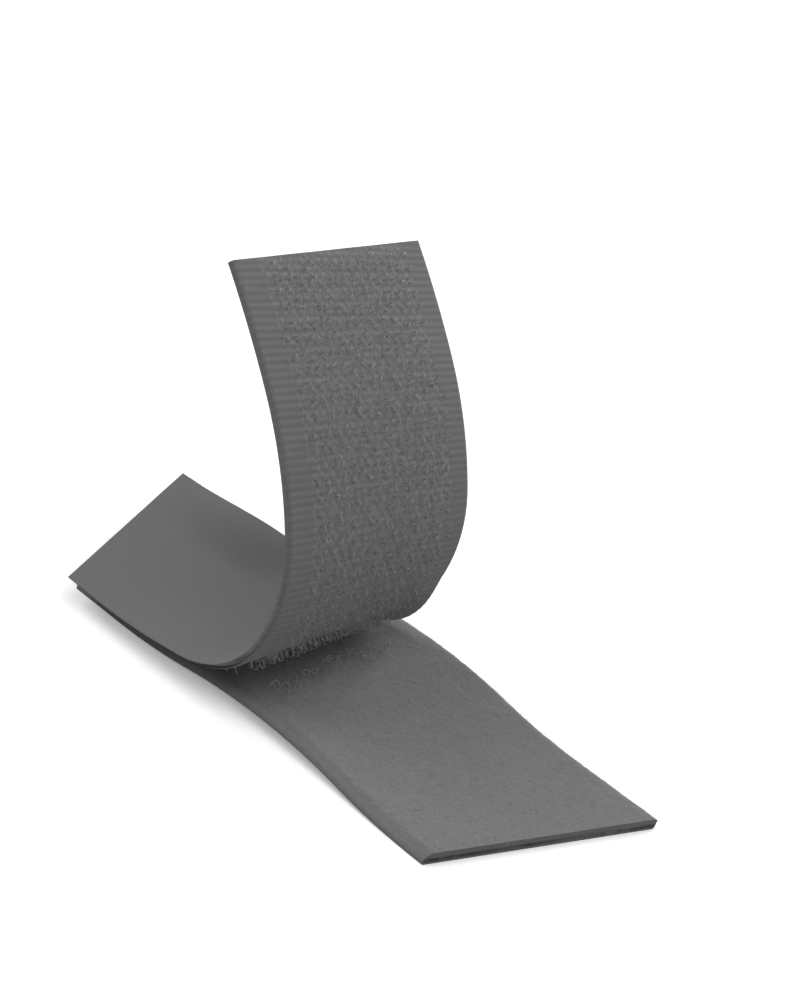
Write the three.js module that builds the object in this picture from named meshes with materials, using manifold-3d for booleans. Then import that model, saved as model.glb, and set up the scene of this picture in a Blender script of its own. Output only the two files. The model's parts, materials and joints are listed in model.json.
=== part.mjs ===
// A short length of hook and loop tape.
// The loop tape lies with its pile up. The hook tape is pressed onto it at one end, and its
// other end is peeled up and curls back, with its hooks facing out. Round the peel line the
// pull has drawn both tapes up into a low hump.
// Millimetres, +Z up, +X along the tapes towards the loop tape's free end, +Y across them.
import * as THREE from 'three';
import { mergeVertices } from 'three/addons/utils/BufferGeometryUtils.js';
import Module from 'manifold-3d';

// Tape sizes
const HOOK_TAPE_WIDTH = 25;
const LOOP_TAPE_WIDTH = 25;
const LOOP_OFFSET = 3.1; // the tapes were pressed together a little out of line
const HOOK_COAT = 0.15;
const HOOK_GROUND = 0.5;
const LOOP_COAT = 0.15;
const LOOP_GROUND = 0.45;
const LOOP_PILE = 0.6;
const ENGAGED_HEIGHT = 1.05; // hooks sunk into loops, between the pile and the hook tape
const HOOK_SELVEDGE = 2.9; // plain woven strip along each edge of the hook tape
const PILE_MARGIN = 0.3; // bare strip along each edge of the loop tape

// Lengths along the middle of each tape from the peel line, and the slant of the cut ends
const MATED_LENGTH = 19;
const MATED_CUT_SLANT = 22;
const LOOP_HINGE = 14.5; // where the loop tape's free end flexes
const FREE_LENGTH = 30.4;
const FREE_CUT_SLANT = 18;

// The hump: where it starts before the peel line, where it ends after it, and its steepest slope
const HUMP_BEFORE = 10;
const HUMP_AFTER = 25.5;
const HUMP_SLOPE = 9;
const HUMP_FACETS = 3; // flat facets on each quarter of the hump

// The peeled tail: four stretches that bend one after the other, measured on the back face
const TAIL_1_LENGTH = 10;
const TAIL_1_BEND = 69;
const TAIL_2_LENGTH = 9.2;
const TAIL_2_BEND = 37.5;
const TAIL_3_LENGTH = 11.6;
const TAIL_3_BEND = 16.7;
const TAIL_4_LENGTH = 10.6;
const TAIL_4_BEND = 6.3;
const LINK_GAP = 0.3; // clear space where one stretch flexes against the next

// Hooks
const HOOK_HEIGHT = 1.25;
const HOOK_REACH = 0.55; // how far a hook's tip leans along the tape
const HOOK_RADIUS = 0.17;
const HOOK_BACKING = 0.15; // slice of the tape that the hooks are rooted in
const HOOK_ROW_PITCH = 1.8;
const HOOK_COLUMN_PITCH = 1.43;
const HOOK_CLEARANCE = 0.5; // from the first free hooks' tips down to the pile

const wasm = await Module();
wasm.setup();

const radians = THREE.MathUtils.degToRad;
const FACETS_PER_ROW = 3; // so that each hook stands in the middle of a flat facet

// Levels, up from the surface that the loop tape lies on
const groundLevel = LOOP_COAT;
const pileLevel = groundLevel + LOOP_GROUND;
const engagedLevel = pileLevel + LOOP_PILE;
const hookGroundLevel = engagedLevel + ENGAGED_HEIGHT;
const hookCoatLevel = hookGroundLevel + HOOK_GROUND;
const hookBackLevel = hookCoatLevel + HOOK_COAT;
const hookBase = HOOK_COAT + HOOK_GROUND; // thickness of the hook tape without its hooks

// Edges across the tapes
const hookNear = -HOOK_TAPE_WIDTH / 2;
const hookFar = HOOK_TAPE_WIDTH / 2;
const fieldNear = hookNear + HOOK_SELVEDGE;
const fieldFar = hookFar - HOOK_SELVEDGE;
const loopNear = LOOP_OFFSET - LOOP_TAPE_WIDTH / 2;
const loopFar = LOOP_OFFSET + LOOP_TAPE_WIDTH / 2;
const pileNear = loopNear + PILE_MARGIN;
const pileFar = loopFar - PILE_MARGIN;

// Colours
const fabric = (color, roughness) => new THREE.MeshStandardMaterial({ color, roughness, metalness: 0 });
const COAT_GREY = 0x6a6a6b;
const WEAVE_GREY = 0x666667;
const HOOK_GREY = 0x6c6c6d;
const PILE_GREY = 0x6b6a6a;

// A point on an arc, a distance s along it and offset to its right, which is down on a level stretch
function pointOnLink(link, s, offset) {
  const { start, curvature } = link;
  const heading = start.heading + curvature * s;
  const chord = curvature === 0 ? s : (2 * Math.sin((curvature * s) / 2)) / curvature;
  const chordHeading = start.heading + (curvature * s) / 2;
  return {
    x: start.x + chord * Math.cos(chordHeading) + offset * Math.sin(heading),
    z: start.z + chord * Math.sin(chordHeading) - offset * Math.cos(heading),
    heading,
  };
}

// Sets arcs end to end from a starting point, and gives the point where they end
function joinUp(links, start) {
  let end = start;
  for (const link of links) {
    link.start = end;
    link.curvature = radians(link.bend) / link.length;
    end = pointOnLink(link, link.length, 0);
  }
  return end;
}

// The loop tape's underside from end to end: level at both ends, with the hump between them
const matedReach = MATED_LENGTH + Math.max(hookFar, loopFar) * Math.tan(radians(MATED_CUT_SLANT));
const freeReach = FREE_LENGTH + (LOOP_TAPE_WIDTH / 2) * Math.tan(radians(FREE_CUT_SLANT));
const humpQuarter = (HUMP_BEFORE + HUMP_AFTER) / 4;
const underside = [
  { length: matedReach - HUMP_BEFORE, bend: 0, facets: 1 },
  { length: humpQuarter, bend: HUMP_SLOPE, facets: HUMP_FACETS },
  { length: 2 * humpQuarter, bend: -2 * HUMP_SLOPE, facets: 2 * HUMP_FACETS },
  { length: humpQuarter, bend: HUMP_SLOPE, facets: HUMP_FACETS },
  { length: freeReach - HUMP_AFTER, bend: 0, facets: 1 },
];
joinUp(underside, { x: -matedReach, z: 0, heading: 0 });
const facetEdges = [];
let travelled = -matedReach;
for (const link of underside) {
  link.from = travelled;
  for (let i = 0; i < link.facets; i++) facetEdges.push(travelled + (link.length * i) / link.facets);
  travelled += link.length;
}

// A point at a level above the underside, a distance s along it from the peel line
function pointOnTape(s, level) {
  const link = underside.findLast((one) => s >= one.from) ?? underside[0];
  return pointOnLink(link, s - link.from, -level);
}

// The slanted cuts, as upright planes with the side that is kept: both tapes were cut together at the mated end
function slantedCut(point, y, slant, keep) {
  const normal = new THREE.Vector3(keep, Math.tan(radians(slant)), 0).normalize();
  return { normal: normal.toArray(), offset: normal.x * point.x + normal.y * y };
}
const matedCut = slantedCut(pointOnTape(-MATED_LENGTH, 0), 0, MATED_CUT_SLANT, 1);
const freeCut = slantedCut(pointOnTape(FREE_LENGTH, 0), LOOP_OFFSET, FREE_CUT_SLANT, -1);

// A stretch of one layer of the lying tapes: its side profile swept across, and cut where it ends
function lyingLayer(from, to, near, far, level, thickness, cut) {
  const along = [from, ...facetEdges.filter((s) => s > from + 0.01 && s < to - 0.01), to];
  const side = (height) => along.map((s) => pointOnTape(s, height)).map((p) => new THREE.Vector2(p.x, p.z));
  const outline = new THREE.Shape([...side(level), ...side(level + thickness).reverse()]);
  const swept = sweepAcross(outline, near, far);
  return cut ? toGeometry(toSolid(swept).trimByPlane(cut.normal, cut.offset)) : swept;
}

// Sweeps a side profile across a tape
function sweepAcross(outline, near, far) {
  const geometry = new THREE.ExtrudeGeometry(outline, { depth: far - near, bevelEnabled: false });
  return geometry.rotateX(Math.PI / 2).translate(0, far, 0);
}

// The tail's path along the hook tape's back face, from the peel line to the free end
const tail = [
  { length: TAIL_1_LENGTH, bend: TAIL_1_BEND },
  { length: TAIL_2_LENGTH, bend: TAIL_2_BEND },
  { length: TAIL_3_LENGTH, bend: TAIL_3_BEND },
  { length: TAIL_4_LENGTH, bend: TAIL_4_BEND },
];
joinUp(tail, pointOnTape(0, hookBackLevel));

// Hooks that face the pile start where the tail has lifted clear of it
function firstFreeHook(link) {
  const lift = HOOK_HEIGHT + HOOK_CLEARANCE - ENGAGED_HEIGHT;
  return Math.acos(1 - lift * link.curvature) / link.curvature;
}

// Rows of hooks on a link and the facets between them, as distances along the link
function layOut(link, isFirst, isLast) {
  const begin = LINK_GAP / 2;
  const end = isLast ? link.length : link.length - LINK_GAP / 2;
  const fieldStart = isFirst ? firstFreeHook(link) : begin;
  const rows = Math.max(1, Math.round((end - fieldStart) / HOOK_ROW_PITCH));
  const pitch = (end - fieldStart) / rows;
  const facets = [];
  const lead = isFirst ? Math.ceil((fieldStart - begin) / (pitch / FACETS_PER_ROW)) : 0;
  for (let i = 0; i < lead; i++) facets.push(begin + ((fieldStart - begin) * i) / lead);
  const fieldFacets = [];
  for (let i = 0; i <= rows * FACETS_PER_ROW; i++) fieldFacets.push(fieldStart + (pitch * i) / FACETS_PER_ROW);
  link.facets = facets.concat(fieldFacets);
  link.fieldFacets = fieldFacets;
  link.rows = Array.from({ length: rows }, (_, i) => fieldStart + pitch * (i + 0.5));
}
tail.forEach((link, i) => layOut(link, i === 0, i === tail.length - 1));

// A curved stretch of one layer: its side profile between two offsets, swept across the tape
function curvedLayer(link, facets, from, to, near, far) {
  const side = (offset) => facets.map((s) => pointOnLink(link, s, offset)).map((p) => new THREE.Vector2(p.x, p.z));
  const outline = new THREE.Shape([...side(to), ...side(from).reverse()]);
  return sweepAcross(outline, near, far);
}

function toSolid(geometry) {
  const bare = geometry.clone();
  bare.deleteAttribute('normal');
  bare.deleteAttribute('uv');
  const merged = mergeVertices(bare, 1e-5);
  return new wasm.Manifold(
    new wasm.Mesh({
      numProp: 3,
      vertProperties: Float32Array.from(merged.attributes.position.array),
      triVerts: Uint32Array.from(merged.index.array),
    }),
  );
}

function toGeometry(solid) {
  const mesh = solid.getMesh();
  const geometry = new THREE.BufferGeometry();
  geometry.setAttribute('position', new THREE.BufferAttribute(Float32Array.from(mesh.vertProperties), 3));
  geometry.setIndex(new THREE.BufferAttribute(Uint32Array.from(mesh.triVerts), 1));
  geometry.computeVertexNormals();
  return geometry;
}

// One hook as a bent three-sided strand: stem, bend and tip, leaning one way along the tape
function addHook(link, s, y, lean, positions, indices) {
  const foot = pointOnLink(link, s, hookBase + HOOK_BACKING / 2);
  const along = new THREE.Vector3(Math.cos(foot.heading), 0, Math.sin(foot.heading)).multiplyScalar(lean);
  const out = new THREE.Vector3(Math.sin(foot.heading), 0, -Math.cos(foot.heading));
  const across = new THREE.Vector3(0, 1, 0);
  const top = HOOK_HEIGHT - HOOK_BACKING / 2;
  const spine = [
    { reach: 0, rise: 0, tilt: 0, radius: HOOK_RADIUS },
    { reach: 0, rise: top * 0.66, tilt: 20, radius: HOOK_RADIUS },
    { reach: HOOK_REACH * 0.55, rise: top - HOOK_RADIUS, tilt: 90, radius: HOOK_RADIUS },
    { reach: HOOK_REACH, rise: top * 0.68, tilt: 150, radius: HOOK_RADIUS * 0.6 },
  ];
  const first = positions.length / 3;
  for (const { reach, rise, tilt, radius } of spine) {
    const lateral = along.clone().multiplyScalar(Math.cos(radians(tilt))).addScaledVector(out, -Math.sin(radians(tilt)));
    for (let corner = 0; corner < 3; corner++) {
      const turn = (corner * 2 * Math.PI) / 3;
      const p = new THREE.Vector3(foot.x, y, foot.z)
        .addScaledVector(along, reach)
        .addScaledVector(out, rise)
        .addScaledVector(lateral, radius * Math.cos(turn))
        .addScaledVector(across, radius * Math.sin(turn));
      positions.push(p.x, p.y, p.z);
    }
  }
  const face = (a, b, c) => (lean > 0 ? indices.push(first + a, first + b, first + c) : indices.push(first + a, first + c, first + b));
  const last = 3 * (spine.length - 1);
  face(0, 1, 2);
  face(last, last + 2, last + 1);
  for (let ring = 0; ring < last; ring += 3) {
    for (let corner = 0; corner < 3; corner++) {
      const next = (corner + 1) % 3;
      face(ring + corner, ring + 3 + corner, ring + 3 + next);
      face(ring + corner, ring + 3 + next, ring + next);
    }
  }
}

// A link's field of hooks, rooted in a slice of the tape
function hookField(link) {
  const slice = curvedLayer(link, link.fieldFacets, hookBase, hookBase + HOOK_BACKING, fieldNear, fieldFar);
  const columns = Math.max(1, Math.floor((fieldFar - fieldNear) / HOOK_COLUMN_PITCH));
  const firstColumn = (fieldNear + fieldFar) / 2 - ((columns - 1) * HOOK_COLUMN_PITCH) / 2;
  const positions = [];
  const indices = [];
  for (const s of link.rows) {
    for (let column = 0; column < columns; column++) {
      const lean = column % 2 === 0 ? 1 : -1;
      addHook(link, s - (lean * HOOK_REACH) / 4, firstColumn + column * HOOK_COLUMN_PITCH, lean, positions, indices);
    }
  }
  const hooks = new THREE.BufferGeometry();
  hooks.setAttribute('position', new THREE.Float32BufferAttribute(positions, 3));
  hooks.setIndex(indices);
  return toGeometry(toSolid(slice).add(toSolid(hooks)));
}

const tapes = new THREE.Group();
function add(name, geometry, material) {
  const mesh = new THREE.Mesh(geometry, material);
  mesh.name = name;
  tapes.add(mesh);
}

// Loop tape: the stretch under the hook tape and out to where the free end flexes
const loopBreak = LOOP_HINGE - LINK_GAP / 2;
add('loop_coat', lyingLayer(-matedReach, loopBreak, loopNear, loopFar, 0, LOOP_COAT, matedCut), fabric(COAT_GREY, 0.8));
add('loop_ground', lyingLayer(-matedReach, loopBreak, loopNear, loopFar, groundLevel, LOOP_GROUND, matedCut), fabric(WEAVE_GREY, 0.9));
add('loop_pile', lyingLayer(-matedReach, loopBreak, pileNear, pileFar, pileLevel, LOOP_PILE, matedCut), fabric(PILE_GREY, 1));

// Loop tape: the free end
const loopResume = LOOP_HINGE + LINK_GAP / 2;
add('loop_end_coat', lyingLayer(loopResume, freeReach, loopNear, loopFar, 0, LOOP_COAT, freeCut), fabric(COAT_GREY, 0.8));
add('loop_end_ground', lyingLayer(loopResume, freeReach, loopNear, loopFar, groundLevel, LOOP_GROUND, freeCut), fabric(WEAVE_GREY, 0.9));
add('loop_end_pile', lyingLayer(loopResume, freeReach, pileNear, pileFar, pileLevel, LOOP_PILE, freeCut), fabric(PILE_GREY, 1));

// Hook tape: the stretch pressed onto the loop tape
const peelLine = -LINK_GAP / 2;
const engagedNear = Math.max(fieldNear, pileNear);
const engagedFar = Math.min(fieldFar, pileFar);
add('hooks_mated', lyingLayer(-matedReach, peelLine, engagedNear, engagedFar, engagedLevel, ENGAGED_HEIGHT, matedCut), fabric(HOOK_GREY, 0.7));
add('hook_ground_mated', lyingLayer(-matedReach, peelLine, hookNear, hookFar, hookGroundLevel, HOOK_GROUND, matedCut), fabric(WEAVE_GREY, 0.9));
add('hook_coat_mated', lyingLayer(-matedReach, peelLine, hookNear, hookFar, hookCoatLevel, HOOK_COAT, matedCut), fabric(COAT_GREY, 0.8));

// Hook tape: the peeled tail
tail.forEach((link, i) => {
  const number = i + 1;
  add(`hook_coat_${number}`, curvedLayer(link, link.facets, 0, HOOK_COAT, hookNear, hookFar), fabric(COAT_GREY, 0.8));
  add(`hook_ground_${number}`, curvedLayer(link, link.facets, HOOK_COAT, hookBase, hookNear, hookFar), fabric(WEAVE_GREY, 0.9));
  add(`hooks_${number}`, hookField(link), fabric(HOOK_GREY, 0.7));
});

// Origin on the surface that the tape lies on, under the middle of the part
const box = new THREE.Box3().setFromObject(tapes);
const middle = box.getCenter(new THREE.Vector3());
tapes.position.set(-middle.x, -middle.y, -box.min.z);

const part = new THREE.Group();
part.add(tapes);
export default part;
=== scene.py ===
"""Hook and loop tape: a hook tape peeled back from the loop tape that it is pressed onto."""

import json
import math
import random

import bmesh
import bpy
from bpy.props import FloatProperty, FloatVectorProperty, IntProperty, PointerProperty
from mathutils import Matrix, Vector, noise


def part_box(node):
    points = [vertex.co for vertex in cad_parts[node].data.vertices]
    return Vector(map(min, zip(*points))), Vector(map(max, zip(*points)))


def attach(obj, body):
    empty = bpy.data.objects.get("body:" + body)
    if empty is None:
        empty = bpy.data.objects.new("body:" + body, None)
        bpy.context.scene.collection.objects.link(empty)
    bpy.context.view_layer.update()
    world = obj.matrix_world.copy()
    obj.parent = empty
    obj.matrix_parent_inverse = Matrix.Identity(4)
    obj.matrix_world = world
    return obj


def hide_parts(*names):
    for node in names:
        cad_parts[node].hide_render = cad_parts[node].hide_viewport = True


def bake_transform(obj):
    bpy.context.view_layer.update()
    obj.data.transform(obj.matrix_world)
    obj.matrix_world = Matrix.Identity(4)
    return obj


bl_info = {
    "name": "Hook and loop tape",
    "version": (1, 0, 0),
    "blender": (4, 5, 0),
    "location": "View3D > Sidebar > Tape",
    "description": "Dresses a peeled length of hook and loop tape",
    "category": "Object",
}

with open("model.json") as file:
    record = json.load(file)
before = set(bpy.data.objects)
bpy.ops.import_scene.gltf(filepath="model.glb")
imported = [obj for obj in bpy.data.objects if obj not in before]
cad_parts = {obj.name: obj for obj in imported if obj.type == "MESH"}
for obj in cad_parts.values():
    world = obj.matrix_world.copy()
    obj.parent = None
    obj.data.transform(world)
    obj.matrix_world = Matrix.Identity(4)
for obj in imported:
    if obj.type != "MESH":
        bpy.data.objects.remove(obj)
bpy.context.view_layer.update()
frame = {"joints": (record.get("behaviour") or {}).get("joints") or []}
MM = 0.001


def edges_across(name):
    low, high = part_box(name)
    return low.y, high.y


# Where the tapes lie, from the frame
HINGES = {joint["name"]: Vector(joint["pos_m"]) for joint in frame["joints"]}
HOOK_NEAR, HOOK_FAR = edges_across("hook_ground_mated")
FIELD_NEAR, FIELD_FAR = edges_across("hooks_2")
LOOP_NEAR, LOOP_FAR = edges_across("loop_ground")
HOOK_MIDDLE, HOOK_WIDTH = (HOOK_NEAR + HOOK_FAR) / 2, HOOK_FAR - HOOK_NEAR
LOOP_MIDDLE, LOOP_WIDTH = (LOOP_NEAR + LOOP_FAR) / 2, LOOP_FAR - LOOP_NEAR
MATED_END_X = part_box("loop_ground")[0].x

# The hook tape's stretches: the bodies and hinge that each one crosses, and how far it runs past the hinge
STRETCHES = (
    ("mated", "loop_tape", "tail_1", "peel", 4.5 * MM),
    ("rise", "tail_1", "tail_2", "curl", 4.5 * MM),
    ("turn", "tail_2", "tail_3", "curl_mid", 5.5 * MM),
    ("tip", "tail_3", "tail_4", "curl_tip", None),
)
TAPE_NODES = {
    "mated": ("hook_coat_mated", "hook_ground_mated", "hook_coat_1", "hook_ground_1"),
    "rise": ("hook_coat_2", "hook_ground_2"),
    "turn": ("hook_coat_3", "hook_ground_3"),
    "tip": ("hook_coat_4", "hook_ground_4"),
}
HOOK_NODES = {
    "mated": ("hooks_mated", "hooks_1"),
    "rise": ("hooks_2",),
    "turn": ("hooks_3",),
    "tip": ("hooks_4",),
}

# Reach to either side of a hinge, and of the loop tape's flex point
BEND_REACH = 4.0 * MM

# Two moves of the far selvedge: reach in from the edge, where along the tape it grows, where it fades
ROLL_OUT = (5 * MM, (-0.5 * MM, 3.5 * MM), (11 * MM, 5 * MM))
LIFT_OFF = (9 * MM, (-24 * MM, -10 * MM), (-3 * MM, -10 * MM))

# A bend below this counts as straight
STRAIGHT = 1e-9


def length(name, description, millimetres):
    return FloatProperty(
        name=name, description=description, default=millimetres * MM, min=0.0, unit="LENGTH", precision=6,
    )


def angle(name, description, degrees):
    return FloatProperty(name=name, description=description, default=math.radians(degrees), unit="ROTATION")


def ratio(name, description, value):
    return FloatProperty(name=name, description=description, default=value)


def count(name, description, value):
    return IntProperty(name=name, description=description, default=value, min=1)


def grey(name, description, rgb):
    return FloatVectorProperty(
        name=name, description=description, default=rgb, min=0.0, max=1.0, size=3, subtype="COLOR",
    )


class TapeSizes(bpy.types.PropertyGroup):
    """Both tapes: lie, weave, edges and cut ends"""

    hook_base: length("Hook tape", "Thickness of the hook tape without its hooks", 0.65)
    loop_base: length("Loop tape", "Thickness of the loop tape without its pile", 0.6)
    pile: length("Pile", "Height of the loop pile", 0.6)
    engaged: length("Engaged", "Space between pile and hook tape where they are pressed together", 1.05)
    mated_length: length("Mated length", "From the middle of the mated cut to the peel line", 19.0)
    mated_slant: angle("Mated cut slant", "Lean of the cut through both tapes", 22)
    free_length: length("Free length", "From the peel line to the middle of the loop tape's free cut", 30.4)
    free_slant: angle("Free cut slant", "Lean of the loop tape's free cut", 18)
    flex_at: length("Flex", "From the peel line to where the loop tape's end flexes", 14.5)
    hump_before: length("Hump before", "Where the hump starts before the peel line", 10.0)
    hump_after: length("Hump after", "Where the hump ends after the peel line", 25.5)
    hump_slope: angle("Hump slope", "Steepest slope of the hump", 9)
    tip_length: length("Tip length", "Last stretch of the tail, along its middle", 10.64)
    tip_bend: angle("Tip bend", "How far the last stretch bends", 6.3)
    step: length("Step", "Mesh step along a tape", 0.105)
    rib_pitch: length("Rib pitch", "Distance between the selvedge's cross ribs", 0.63)
    rib_height: length("Rib height", "Depth of the selvedge's cross ribs", 0.015)
    skew: ratio("Skew", "How far the weave's rows lean along the hook tape, for each step across", 0.086)
    selvedge_step: length("Selvedge step", "Mesh step across a selvedge", 0.4)
    field_step: length("Field step", "Mesh step across the hook field", 0.14)
    yarn_pitch: length("Yarn pitch", "Distance across between one warp crown and the next in its row", 1.12)
    weave_height: length("Weave height", "Relief of the ground weave under the hooks", 0.03)
    crease: length("Edge crease", "Depth of the crease along the tail's edge, at the peel line", 0.26)
    tuck: length("Edge tuck", "How far the edge draws in under the coating where the tapes are pressed", 0.9)
    tuck_reach: length("Tuck reach", "How far in from the edge the selvedge is drawn in", 3.0)
    tuck_end: length("Tuck end", "From the peel line to where the edge is upright again", 9.0)
    edge_round: length("Edge round", "How far the edge's corners are rounded", 0.08)
    face_round: length("Face round", "How far the edge is rounded towards the ribbed face", 0.24)
    droop: length("Droop", "How far the far selvedge rolls out where the tail leaves the loop tape", 1.2)
    ripple: length("Ripple", "How far the far selvedge lifts off the pile before the peel line", 1.1)


class HookSizes(bpy.types.PropertyGroup):
    """The field of bent nylon hooks"""

    height: length("Height", "From the tape's face to the top of the crook", 1.12)
    radius: length("Radius", "Half the thickness of the nylon", 0.045)
    crook: length("Crook", "Radius of the bend at the top", 0.24)
    crook_turn: angle("Crook turn", "How far the nylon bends over", 215)
    stub: length("Stub", "Height of the cut leg beside a hook", 0.5)
    row_pitch: length("Row pitch", "Distance between rows", 1.26)
    column_pitch: length("Column pitch", "Distance between columns", 1.12)
    sides: count("Sides", "Sides of a strand", 5)
    turn: angle("Turn", "How far hooks turn from the tape's line at random", 40)
    pressed: ratio("Pressed", "How much lower the hooks are on the free tail", 0.38)
    end_margin: length("End margin", "Bare strip at a cut end", 0.7)


class PileSizes(bpy.types.PropertyGroup):
    """The loop tape's pile"""

    felt_step: length("Felt step", "Mesh step of the matted base", 0.16)
    felt_relief: length("Felt relief", "Unevenness of the matted base", 0.03)
    felt_round: length("Felt round", "How far in the matted base rounds off towards the edges", 1.0)
    loop_width: length("Loop width", "Width of a loop", 0.42)
    loop_height: length("Loop height", "Height of a loop", 0.12)
    strand: length("Strand", "Half the thickness of a fibre", 0.014)
    spacing: length("Spacing", "Mean distance between loops", 0.36)
    pulled: count("Pulled loops", "Loops drawn up along the peel line", 60)


class TapeColours(bpy.types.PropertyGroup):
    """Greys of the two tapes"""

    coating: grey("Coating", "Resin on the backs", (0.119, 0.119, 0.12))
    weave: grey("Weave", "Woven ground under the hooks", (0.179, 0.179, 0.18))
    selvedge: grey("Selvedge", "Plain woven edges", (0.162, 0.162, 0.163))
    # The rim grey is darker than the selvedge's: painted shade on the tape's sides
    rim: grey("Rim", "Outer side of the selvedge, where the weave turns back", (0.128, 0.128, 0.129))
    nylon: grey("Nylon", "Hooks", (0.215, 0.215, 0.216))
    pile: grey("Pile", "Loop pile", (0.163, 0.161, 0.161))
    # The loops' grey is lighter than the pile's: painted light on the standing fibres
    loops: grey("Loops", "Single loops of the pile", (0.3, 0.298, 0.298))
    floor: grey("Floor", "Plain floor and background", (1.0, 1.0, 1.0))


class PhotoView(bpy.types.PropertyGroup):
    """Camera at the photograph's view"""

    azimuth: angle("Azimuth", "From +X towards -Y", 60.836)
    elevation: angle("Elevation", "Above the floor", 25.232)
    roll: angle("Roll", "Turn about the line of sight", 21.278)
    distance: length("Distance", "From the aim point", 163.841)
    focal_share: ratio("Focal share", "Focal length over the frame's long side", 1.8999)
    aim: FloatVectorProperty(
        name="Aim", description="Point at the middle of the frame", default=(0.000087, 0.002969, 0.018623),
        size=3, subtype="XYZ",
    )


def smooth_step(low, high, value):
    """Eases from 0 at low to 1 at high."""
    share = min(1.0, max(0.0, (value - low) / (high - low)))
    return share * share * (3 - 2 * share)


def far_edge_move(size, move, along, across):
    """How far a move of the far selvedge shifts a place on the flat hook tape."""
    reach, grows, fades = move
    size *= smooth_step(HOOK_FAR - reach, HOOK_FAR, across)
    return size * smooth_step(*grows, along) * smooth_step(*fades, along)


class ArcLine:
    """A line seen from the side, made of arcs that run on from one another."""

    def __init__(self, along, x, z, heading=0.0):
        self.arcs = []
        self.end = (along, x, z, heading)

    def add(self, run, bend):
        along, x, z, heading = self.end
        self.arcs.append((along, x, z, heading, bend / run))
        chord = run if abs(bend) < STRAIGHT else 2 * math.sin(bend / 2) * run / bend
        middle = heading + bend / 2
        self.end = (along + run, x + chord * math.cos(middle), z + chord * math.sin(middle), heading + bend)

    def at(self, along, lift=0.0):
        """The point at a distance along and lifted off the line, and the heading there."""
        arc = next((arc for arc in reversed(self.arcs) if along >= arc[0]), self.arcs[0])
        first, x, z, heading, curvature = arc
        turn = curvature * (along - first)
        chord = along - first if abs(turn) < STRAIGHT else 2 * math.sin(turn / 2) / curvature
        middle, here = heading + turn / 2, heading + turn
        return (
            x + chord * math.cos(middle) - lift * math.sin(here),
            z + chord * math.sin(middle) + lift * math.cos(here),
            here,
        )


class TapeLines:
    """How the two tapes run: the loop tape's underside with its hump, and the hook tape's curling tail."""

    def __init__(self, sizes):
        self.base, self.droop, self.ripple = sizes.hook_base, sizes.droop, sizes.ripple
        self.back_level = sizes.loop_base + sizes.pile + sizes.engaged + sizes.hook_base
        self.mated_lean, self.free_lean = math.tan(sizes.mated_slant), math.tan(sizes.free_slant)
        self.loop_start = -sizes.mated_length - (LOOP_FAR - HOOK_MIDDLE) * self.mated_lean
        self.hook_start = -sizes.mated_length - HOOK_WIDTH / 2 * self.mated_lean
        self.loop_end = sizes.free_length + LOOP_WIDTH / 2 * self.free_lean
        quarter = (sizes.hump_before + sizes.hump_after) / 4
        runs = (
            (-self.loop_start - sizes.hump_before, 0.0),
            (quarter, sizes.hump_slope),
            (2 * quarter, -2 * sizes.hump_slope),
            (quarter, sizes.hump_slope),
            (self.loop_end, 0.0),
        )
        self.lying = ArcLine(self.loop_start, MATED_END_X, 0.0)
        for run, bend in runs:
            self.lying.add(run, bend)
        self.hinge_at = {}
        peel = HINGES["peel"]
        self.tail = ArcLine(0.0, peel.x, peel.z, self.lying.at(0.0)[2])
        names = [hinge for _, _, _, hinge, _ in STRETCHES]
        for here, there in zip(names, names[1:] + [None]):
            along, x, z, heading = self.tail.end
            self.hinge_at[here] = along
            if there:
                rise, reach = HINGES[there].z - z, HINGES[there].x - x
                bend = 2 * (math.atan2(rise, reach) - heading)
                self.tail.add(math.hypot(rise, reach) * (bend / 2) / math.sin(bend / 2), bend)
            else:
                self.tail.add(sizes.tip_length, sizes.tip_bend)
        self.tail_end = self.tail.end[0]

    def hook_point(self, flat):
        """Where a point of the flat hook tape lies: along it, across it and above its back."""
        along, across, above = flat
        above -= far_edge_move(self.droop, ROLL_OUT, along, across)
        above += far_edge_move(self.ripple, LIFT_OFF, along, across)
        if along < 0:
            x, z, _ = self.lying.at(along, self.back_level + above)
        else:
            x, z, _ = self.tail.at(along, self.base / 2 + above)
        return Vector((x, across, z))

    def loop_point(self, flat):
        """Where a point of the flat loop tape lies: along it, across it and above its underside."""
        along, across, above = flat
        x, z, _ = self.lying.at(along, above)
        return Vector((x, across, z))

    def span(self, index):
        """Where a stretch of hook tape begins and ends."""
        begin = self.hook_start
        if index:
            _, _, _, hinge, past = STRETCHES[index - 1]
            begin = self.hinge_at[hinge] + past
        _, _, _, hinge, past = STRETCHES[index]
        return begin, self.tail_end if past is None else self.hinge_at[hinge] + past

    def bend_with_hinge(self, piece, index):
        """Finds the points to either side of a stretch's hinge, which are not used, and bakes the stretch's
        placement into its mesh.
        """
        _, parent, child, hinge, _ = STRETCHES[index]
        places = [self.hinge_at[hinge] + reach for reach in (-BEND_REACH, BEND_REACH)]
        ends = [self.hook_point((along, HOOK_MIDDLE, -self.base / 2)) for along in places]
        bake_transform(piece)

    def bend_with_end(self, piece, sizes):
        """Finds the points to either side of where the loop tape's end flexes, which are not used, and bakes
        the piece's placement into its mesh.
        """
        places = [sizes.flex_at + reach for reach in (-BEND_REACH, BEND_REACH)]
        ends = [self.loop_point((along, LOOP_MIDDLE, sizes.loop_base)) for along in places]
        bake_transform(piece)

    def between_cuts(self, along, across, margin, sizes):
        """Whether a place on the lying tapes is inside their slanted cuts."""
        low = -sizes.mated_length - (across - HOOK_MIDDLE) * self.mated_lean
        high = sizes.free_length + (across - LOOP_MIDDLE) * self.free_lean
        return low + margin < along < high - margin


# Mesh building

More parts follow.
